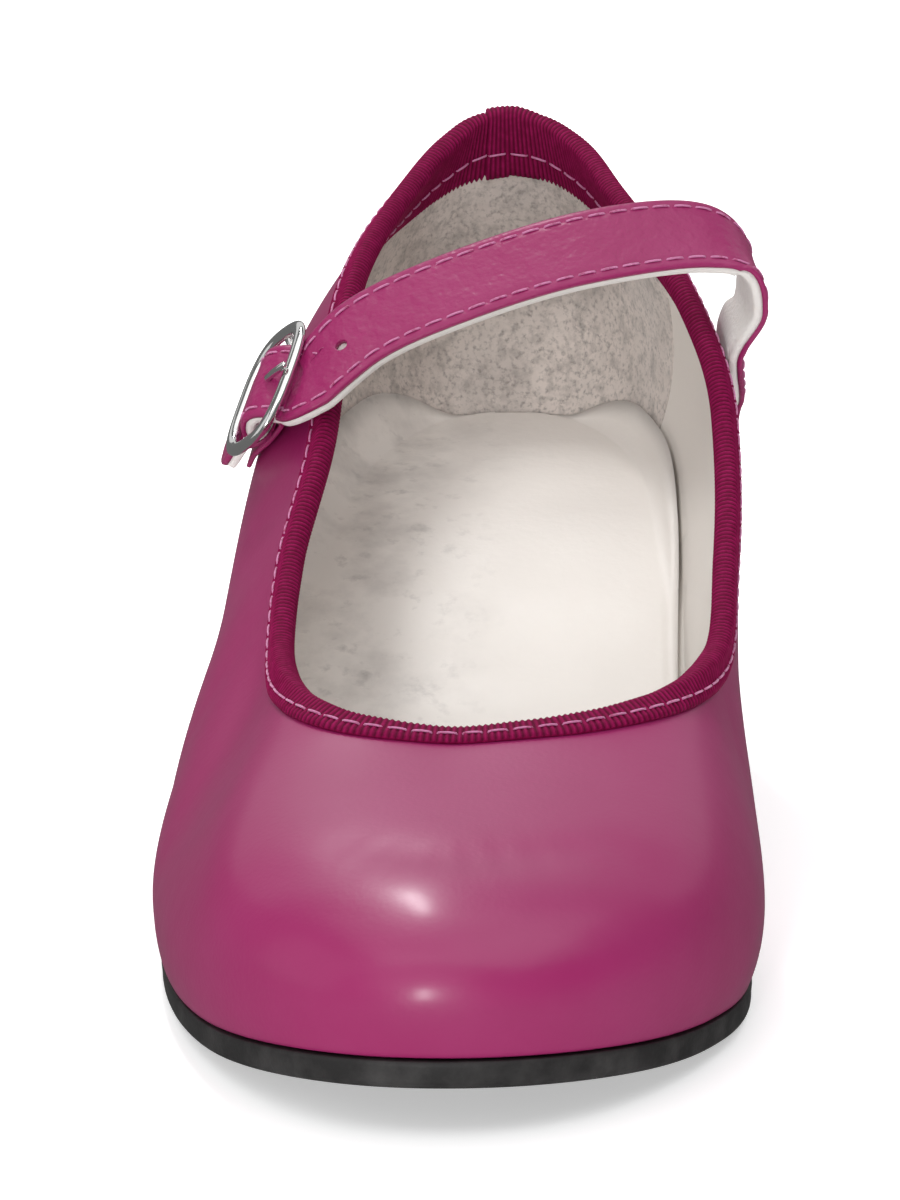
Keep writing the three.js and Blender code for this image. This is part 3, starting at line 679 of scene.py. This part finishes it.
def collar_ribbon():
    total = even_angles(collar, 4)[1]
    ribs = round(total / RIB_PITCH)
    angle = even_angles(collar, ribs * RIBS)[0]
    along = np.linspace(0, total, len(angle))
    phase = 2 * math.pi * np.arange(len(angle)) / RIBS
    wave = 0.35 * np.sin(along / 7.1) + 0.2 * np.sin(along / 2.9 + 1)
    low = share_below(angle, RIBBON_OUTSIDE + 0.12 * np.sin(along / 5.3))
    signed = np.degrees(np.arctan2(np.sin(angle), np.cos(angle)))
    spread = RIBBON_SPREAD * np.exp(-((signed - SPREAD_ANGLE) / 9) ** 2)
    deep = share_below(angle, RIBBON_INSIDE + wave + spread)
    lift = ribbon_lift(along)
    corner = ease((degrees(angle) - 118) / 20) * (1 - ease((degrees(angle) - 165) / 12))
    far = CLEARANCE + RIBBON
    rows, groove_shade = [], []
    bands = [(0, v) for v in np.linspace(0, 1, 7)] + [(1, v) for v in np.linspace(0, 1, 8)[1:-1]]
    bands += [(2, v) for v in np.linspace(0, 1, 11)]
    normal, up = wall_normal(angle, np.ones_like(angle)), wall_up(angle, np.ones_like(angle))
    crest = off_wall(angle, np.ones_like(angle), np.full(len(angle), -WALL / 2))
    for k, (part, v) in enumerate(bands):
        slant = corner * 0.13 * k
        rib = RIB_HEIGHT * np.cos(phase + slant)
        # Painted shade between the ribs: none on a rib's crest, most at the bottom of its groove
        groove_shade.append(0.45 - 0.45 * np.cos(phase + slant))
        rib += 0.25 * corner * np.sin(along / 1.35 + 0.16 * k) * RIB_HEIGHT
        out = far + rib + lift
        if part == 0:
            out = out - 0.3 * (v == 0)
            rows.append(off_wall(angle, low + (1 - low) * v, out))
        elif part == 1:
            turn = math.pi * v
            wide, tall = (WALL / 2 + out)[:, None], (0.95 + rib + lift)[:, None]
            rows.append(crest + wide * math.cos(turn) * normal + tall * math.sin(turn) * up)
        else:
            out = out - 0.3 * (v == 1)
            rows.append(off_wall(angle, 1 + (deep - 1) * v, -WALL - out))
    for share, side in ((deep, -1), (0.5 + 0.5 * deep, -1), (np.ones_like(deep), -1),
                        (np.ones_like(low), 1), (low, 1)):
        gap = 0.12 if side > 0 else -WALL - 0.12
        rows.append(off_wall(angle, share, np.full(len(angle), gap)))
        groove_shade.append(np.zeros(len(angle)))
    ribbon = add_grid("collar_ribbon", np.stack(rows, 1), [ribbon_cloth], around=True, across=True)
    # The painted groove shade is stored on the mesh as the groove attribute
    groove = ribbon.data.attributes.new("groove", "FLOAT", "POINT")
    groove.data.foreach_set("value", np.stack(groove_shade, 1).ravel())
    return ribbon


def collar_stitches():
    angle, total = even_angles(collar, 1800)
    far = CLEARANCE + RIBBON + 0.6 * RIB_HEIGHT + ribbon_lift(np.linspace(0, total, len(angle)))
    pieces = []
    for name, below, gap, side in (("outside_stitches", STITCH_OUTSIDE, far, 1),
                                   ("inside_stitches", STITCH_INSIDE, -WALL - far, -1)):
        share = share_below(angle, below)
        line = off_wall(angle, share, gap)
        normal = side * wall_normal(angle, share)
        pieces.append(add_stitches(name, line, normal, STITCH_PITCH, thread))
    return pieces


# Strap and buckle

def fall_of(lean, flare):
    return np.array([flare, -math.sin(math.radians(lean)), -math.cos(math.radians(lean))])


ring_place = off_wall(math.radians(RING_ANGLE), RING_SHARE, RING_OFF)
ring_down = unit(fall_of(RING_LEAN, RING_FLARE))
ring_along = unit(np.array(RING_HEADING) - ring_down * np.dot(RING_HEADING, ring_down))
ring_face = np.cross(ring_along, ring_down)


def ring_point(along, down, out):
    parts = zip((along, down, out), (ring_along, ring_down, ring_face))
    return ring_place + sum(np.asarray(amount)[..., None] * axis for amount, axis in parts)


def across_ring(along, out):
    return [*ring_point(along, 0, out), RING_LEAN, RING_FLARE]


def on_wall(angle, share, off, fall):
    angle = math.radians(angle)
    normal = wall_normal(angle, share)
    x, y, z = fall - normal * np.dot(fall, normal)
    return [*off_wall(angle, share, off), math.degrees(math.atan2(-y, -z)), x / math.hypot(y, z)]


crown = HEEL_HEIGHT + STRAP_CROWN * BACK_HEIGHT
strap_rows = [on_wall(angle, share, CLEARANCE + STRAP / 2, fall_of(lean, 0))
              for angle, share, lean in STRAP_SEAM]
strap_rows += [(across * BALL_WIDTH, HEEL_BACK - along * LENGTH, height * crown, lean, flare)
               for across, along, height, lean, flare in STRAP_LINE]
strap_rows += [across_ring(along * RING_SHORT, out * STRAP) for along, out in RING_RUN]
strap_rows.append(across_ring(RING_SHORT + TAIL_ALONG, -STRAP - TAIL_FALL))
strap_rows = np.array(strap_rows)

tab_loop = BAR + CLEARANCE / 2 + TAB / 2
tab_rows = [on_wall(angle, share, off * TAB, ring_down) for angle, share, off in TAB_RUN]
tab_rows += [across_ring(tab_loop * math.cos(turn), -BAR_SINK + tab_loop * math.sin(turn))
             for turn in np.linspace(math.pi, 0, 7)]
tab_rows += [on_wall(angle, share, off * TAB, ring_down) for angle, share, off in TAB_RETURN]
tab_rows = np.array(tab_rows)


def row_curve(rows, place):
    """A smooth curve through the rows of a band: place, lean and flare together"""
    last = len(rows) - 1
    i = np.clip(np.floor(place).astype(int), 0, last - 1)
    t = (place - i)[:, None]
    before, here, after = rows[np.maximum(i - 1, 0)], rows[i], rows[np.minimum(i + 2, last)]
    ahead = rows[i + 1]
    bend = 2 * before - 5 * here + 4 * ahead - after
    twist = 3 * (here - ahead) + after - before
    return here + 0.5 * t * (ahead - before + t * (bend + t * twist))


def band_frame(rows, place):
    step, last = 0.02, len(rows) - 1
    ahead = row_curve(rows, np.minimum(last, place + step))[:, :3]
    behind = row_curve(rows, np.maximum(0, place - step))[:, :3]
    along = unit(ahead - behind)
    here = row_curve(rows, place)
    lean = np.radians(here[:, 3])
    fall = np.stack([here[:, 4], -np.sin(lean), -np.cos(lean)], -1)
    down = unit(fall - along * (fall * along).sum(-1, keepdims=True))
    return here[:, :3], down, unit(np.cross(along, down))


def band(name, rows, place, profile, width_scale, material):
    """A strap-like body; profile holds (down, out) pairs, closed, in millimetres"""
    middle, down, face = band_frame(rows, place)
    profile = np.asarray(profile)
    wide = profile[None, :, 0, None] * np.asarray(width_scale)[:, None, None]
    points = middle[:, None] + wide * down[:, None] + profile[None, :, 1, None] * face[:, None]
    return add_grid(name, points, [material], across=True, caps=True)


strap_place = np.linspace(0, len(strap_rows) - 1, 460)
past_end = np.maximum(0, strap_place - strap_place[-1] + TIP_ROWS) / TIP_ROWS
strap_taper = np.sqrt(np.maximum(0.04, 1 - past_end ** 2))


def layer(half, low, high, rounding, groove=0.0):
    """Section of a strap layer: rounded top edges, a stitch groove along both sides"""
    down = np.linspace(-1, 1, 41)
    edge_fall = rounding * np.abs(down) ** 14
    dip = groove * np.exp(-((np.abs(down) * half - (half - STRAP_STITCH)) / 0.35) ** 2)
    top = np.stack([down * half, high - edge_fall - dip], -1)
    low_edge = np.stack([down[::-1][::4] * (half - 0.1), np.full(11, low)], -1)
    return np.concatenate([top, low_edge])


def cut_holes(piece, middle, face, radius):
    """Round holes punched through a piece along its face direction"""
    for centre, axis in zip(middle, face):
        path = np.array([centre + axis * out for out in (-STRAP, STRAP)])
        across = np.array([0.3, 0.7, 0.1])
        cutter = add_wires("cutter", [path], radius, [across], leather, 24)
        cut = piece.modifiers.new("hole", "BOOLEAN")
        cut.object = cutter
        cut.solver = "EXACT"
        bpy.context.view_layer.objects.active = piece
        bpy.ops.object.modifier_apply(modifier=cut.name)
        bpy.data.objects.remove(cutter)


def strap():
    half = STRAP_WIDTH / 2
    split = STRAP / 2 - STRAP_LEATHER
    face = band("strap_face", strap_rows, strap_place, layer(half, split, STRAP / 2, 0.35, 0.14),
                strap_taper, strap_skin)
    middle, _, out = band_frame(strap_rows, np.array([SPARE_HOLE]))
    cut_holes(face, middle, out, HOLE_RADIUS)
    lined = layer(half - 0.15, split - 0.02, -STRAP / 2, -0.3)
    felt_layer = band("strap_lining", strap_rows, strap_place, lined, strap_taper, white_felt)
    centre, down, normal = band_frame(strap_rows, strap_place)
    keep = slice(12, 436)
    lines = []
    for k, side in enumerate((-1, 1)):
        offset = side * (half * strap_taper[:, None] - STRAP_STITCH)
        line = centre + down * offset + normal * (STRAP / 2 - 0.05)
        lines.append(add_stitches(f"strap_stitches_{k}", line[keep], normal[keep], STITCH_PITCH, thread))
    return face, felt_layer, lines


def buckle_ring():
    turn, around = ring_angles(120), ring_angles(20)
    c, s = oval(turn, 3)
    out = unit(np.stack([np.cos(turn) * RING_LONG, np.sin(turn) * RING_SHORT], -1))
    wide = WIRE_WIDE * np.cos(around)
    thin = -WIRE_THIN * np.sin(around)
    along = (RING_SHORT * c)[:, None] + out[:, :1] * wide
    down = (RING_LONG * s)[:, None] + out[:, 1:] * wide
    points = ring_point(along, down, thin + 0 * along)
    rim = add_grid("buckle_ring", points, [chrome], around=True, across=True)
    k = np.linspace(-1, 1, 40)
    path = ring_point(0 * k, k * RING_LONG, -BAR_SINK * (1 - k ** 6))
    bar = add_wires("buckle_bar", [path], BAR, [ring_along], chrome, 14)
    return rim, bar


def buckle_pin():
    eye = BAR + PRONG_GAP + PRONG
    turn = np.radians(210 - 300 * np.linspace(1, 0, 30))
    loop = ring_point(-eye * np.cos(turn), 0 * turn, -BAR_SINK - eye * np.sin(turn))
    reach = np.array([-0.42 * RING_SHORT, -0.75 * RING_SHORT, -RING_SHORT - WIRE_WIDE])
    rest = ring_point(reach, 0 * reach, WIRE_THIN + np.array([0.5, 0.62, PRONG + 0.1]))
    tip = rest[-1] + (rest[-1] - rest[-2]) / np.linalg.norm(rest[-1] - rest[-2]) * 0.4
    path = np.concatenate([loop, rest, [tip]])
    radius = np.concatenate([np.full(len(path) - 2, PRONG), [PRONG * 0.92, PRONG * 0.45]])
    return add_wires("buckle_pin", [path], radius, [ring_down], chrome, 14)


def buckle_loop():
    half = TAB_WIDTH / 2
    down = np.linspace(-half, half, 25)
    top = np.stack([down, TAB / 2 - 0.2 * np.abs(down / half) ** 12], -1)
    low = np.stack([down[::-1][::3], np.full(9, -TAB / 2)], -1)
    place = np.linspace(0, len(tab_rows) - 1, 160)
    return band("buckle_loop", tab_rows, place, np.concatenate([top, low]), np.ones(160), leather)


# Sole and heel

def outsole():
    """Rubber sole with a rolled edge; its rim shows just under the feather line"""
    angle = ring_angles(360)
    rings = [(SOLE_INSET + SOLE_BEVEL * (1 - math.sin(turn)), SOLE_BEVEL * (1 - math.cos(turn)))
             for turn in np.linspace(0, math.pi / 2, 7)]
    rings += [(SOLE_INSET, 0.5 * SOLE), (SOLE_INSET - 0.1, 0.8 * SOLE), (SOLE_INSET, SOLE - 0.15),
              (SOLE_INSET + 0.3, SOLE)]
    points = np.stack([level(angle, np.full(360, inset), height) for inset, height in rings], 1)
    faces = grid_faces(360, len(rings), True, False)
    flat = []
    for column in (0, len(rings) - 1):
        for i in range(180):
            corners = [i, i + 1, (359 - i) % 360, (360 - i) % 360]
            flat.append([k * len(rings) + column for k in dict.fromkeys(corners)])
    return add_mesh("sole", points.reshape(-1, 3), faces + flat, [rubber])


def heel_ring(share, count=120, inset=0.0):
    """Plan of the heel block, closed by a flat breast"""
    front = HEEL_BACK - LENGTH * HEEL_END
    end = math.acos(1 - 2 * HEEL_END)
    widest = inset_edge(np.array(-end), HEEL_INSET)[0]
    breast = 0.35
    turn = ring_angles(count)
    angle = np.where(turn > math.pi, turn - 2 * math.pi, turn) / math.pi * end * (1 + breast)
    edge_line = inset_edge(np.clip(angle, -end, end), HEEL_INSET + inset)
    past = np.clip((np.abs(angle) - end) / (breast * end), 0, 1)
    top_x = edge_line[:, 0] * (1 - past)
    top_y = np.where(past > 0, front, np.maximum(front, edge_line[:, 1]))
    along = (top_y - front) / (HEEL_BACK - front)
    foot_x = TIP_HALF_WIDTH * top_x / widest
    foot_y = -TIP_FRONT + (TIP_FRONT + TIP_BACK) * along
    low, high = 2 * HEEL_WAIST * share, HEEL_WAIST + (1 - HEEL_WAIST) * (2 * share - 1)
    taper = low if share < 0.5 else high
    x, y = foot_x + (top_x - foot_x) * taper, foot_y + (top_y - foot_y) * taper
    return np.stack([x, y, TIP_HEIGHT + (underside(y) - CLEARANCE - TIP_HEIGHT) * share], -1)


def stacked(name, rings, material):
    count = len(rings[0])
    points = np.concatenate(rings)
    faces = grid_faces(len(rings), count, False, True)
    for start in (0, (len(rings) - 1) * count):
        half = count // 2
        for i in range(half):
            corners = [i, i + 1, (count - 1 - i) % count, (count - i) % count]
            faces.append([start + k for k in dict.fromkeys(corners)])
    return add_mesh(name, points, faces, [material])


def heel():
    block = stacked("heel_cover", [heel_ring(share) for share in np.linspace(0, 1, 24)], leather)
    base = heel_ring(0)
    rings = []
    bevel = ((TIP_BEVEL / TIP_BACK, 0), (0.01, 0.2), (0, TIP_BEVEL), (0, TIP_HEIGHT - 0.1))
    for shrink, height in bevel:
        ring = base * np.array([1 - shrink, 1 - shrink, 0])
        rings.append(ring + np.array([0, 0, height]))
    return block, stacked("heel_top_piece", rings, rubber)


# Build

place_piece(upper_shell(), ["upper"])
place_piece(heel_lining(), [])
place_piece(sock(), ["insole"])
place_piece(collar_ribbon(), ["collar_binding"])
for stitches in collar_stitches():
    place_piece(stitches, [])
strap_face, strap_lining, strap_threads = strap()
place_piece(strap_face, ["strap"])
for piece in (strap_lining, *strap_threads):
    place_piece(piece, [])
ring_rim, ring_bar = buckle_ring()
place_piece(ring_rim, ["buckle_frame"])
place_piece(ring_bar, [])
place_piece(buckle_pin(), ["buckle_prong"])
place_piece(buckle_loop(), ["buckle_tab"])
place_piece(outsole(), ["outsole"])
heel_cover, heel_top = heel()
place_piece(heel_cover, ["heel_block"])
place_piece(heel_top, ["heel_tip"])

# Floor, light and camera

FLOOR = 3000
SWEEP = 900


def white_paper():
    """Paper with painted light and shade: it glows behind the shoe, and fades to a painted grey shade
    beside and before it
    """
    paper = finish("white_paper", PAPER, PAPER, [], rough=0.9, specular_ior_level=0.1,
                   emission_color=(1, 1, 1, 1))
    tree = paper.node_tree
    body = next(made for made in tree.nodes if made.type == "BSDF_PRINCIPLED")
    place = node(tree, "SeparateXYZ", {"Vector": node(tree, "TexCoord").outputs["Object"]}).outputs
    aside = node(tree, "Math", {0: place["X"]}, operation="ABSOLUTE").outputs[0]
    beside = ramp(tree, aside, 0.75, 0.28)
    lit = node(tree, "Math", {0: beside, 1: ramp(tree, place["Y"], -0.6, -0.27)}, operation="MULTIPLY")
    behind = ramp(tree, place["Y"], -0.9, 0.9)
    dimmed = node(tree, "MapRange", {"Value": lit.outputs[0], "To Min": 0.45}).outputs["Result"]
    glow = node(tree, "Math", {0: behind, 1: dimmed}, operation="MULTIPLY").outputs[0]
    # Painted shade: the paper turns grey away from the lit patch near the shoe
    put(tree, body.inputs["Base Color"], mixed(tree, lit.outputs[0], PAPER_SHADE_GREY, PAPER))
    # Painted light: the paper glows, strongest behind the shoe and dimmer beside it
    put(tree, body.inputs["Emission Strength"], glow)
    return paper


def backdrop():
    """A pale floor that curves up into a wall behind the shoe"""
    turn = np.linspace(0, math.pi / 2, 20)
    y = np.concatenate([[-FLOOR], FLOOR - SWEEP + SWEEP * np.sin(turn), [FLOOR]])
    z = np.concatenate([[0], SWEEP * (1 - np.cos(turn)), [FLOOR]])
    x = np.tile([-FLOOR, FLOOR], (len(y), 1))
    y, z = np.repeat(y[:, None], 2, 1), np.repeat(z[:, None], 2, 1)
    points = np.stack([x, y, z], -1)
    return add_grid("backdrop", points, [white_paper()])


paper_sweep = backdrop()
paper_sweep.visible_glossy = False


def area_light(name, position, target, width, height, power):
    light = bpy.data.lights.new(name, "AREA")
    light.shape = "RECTANGLE"
    light.size, light.size_y = width, height
    light.energy = power
    lamp = bpy.data.objects.new(name, light)
    lamp.location = position
    aim = Vector(target) - Vector(position)
    lamp.rotation_euler = aim.to_track_quat("-Z", "Y").to_euler()
    collection.objects.link(lamp)


# The lights are placed in metres
TOE = (0, -0.15, 0.03)
SHOE = (0, -0.1, 0)

# name, place, what it faces, width, height, watts; the two sparks make the toe's small highlights
LIGHTS = [
    ("left_front", (-0.25, -1.0, 0.75), TOE, 1.2, 1.2, 3.6),
    ("overhead", (0.0, -0.25, 1.1), SHOE, 1.6, 1.3, 7.2),
    ("right_top", (0.5, -0.4, 1.0), TOE, 0.8, 0.8, 1.1),
    ("back_sheen", (0.0, 1.0, 0.78), TOE, 2.6, 0.6, 2.8),
    ("left_fill", (-1.0, -0.3, 0.4), TOE, 0.8, 0.8, 1.2),
    ("crown_spark", (-0.18, 0.4, 0.94), TOE, 0.08, 0.3, 3.4),
    ("toe_spark", (-0.16, -1.25, 0.15), TOE, 0.1, 0.26, 4.0),
]
for light in LIGHTS:
    area_light(*light)

world = bpy.data.worlds.new("studio")
bpy.context.scene.world = world
world.use_nodes = True
world.node_tree.nodes["Background"].inputs["Color"].default_value = (1, 1, 1, 1)
world.node_tree.nodes["Background"].inputs["Strength"].default_value = 0.16

bpy.context.scene.view_settings.view_transform = "Standard"

# The camera stands where the photograph's did and turns about its own upright to face the shoe
CAMERA_PLACE = (38.7, -698.6, 192.1)
CAMERA_YAW = 0.1
CAMERA_PITCH = 13.82
TURN_TO_SHOE = 3.85
LENS = 140.2

camera = bpy.data.cameras.new("camera")
camera.sensor_fit = "AUTO"
camera.sensor_width = 36
camera.lens = LENS
camera_object = bpy.data.objects.new("camera", camera)
place = Matrix.Translation(Vector(CAMERA_PLACE) * MM)
heading = Matrix.Rotation(math.radians(-CAMERA_YAW), 4, "Z")
tilt = Matrix.Rotation(math.radians(90 - CAMERA_PITCH), 4, "X")
turn_to_shoe = Matrix.Rotation(math.radians(TURN_TO_SHOE), 4, "Y")
camera_object.matrix_world = place @ heading @ tilt @ turn_to_shoe
collection.objects.link(camera_object)
bpy.context.scene.camera = camera_object
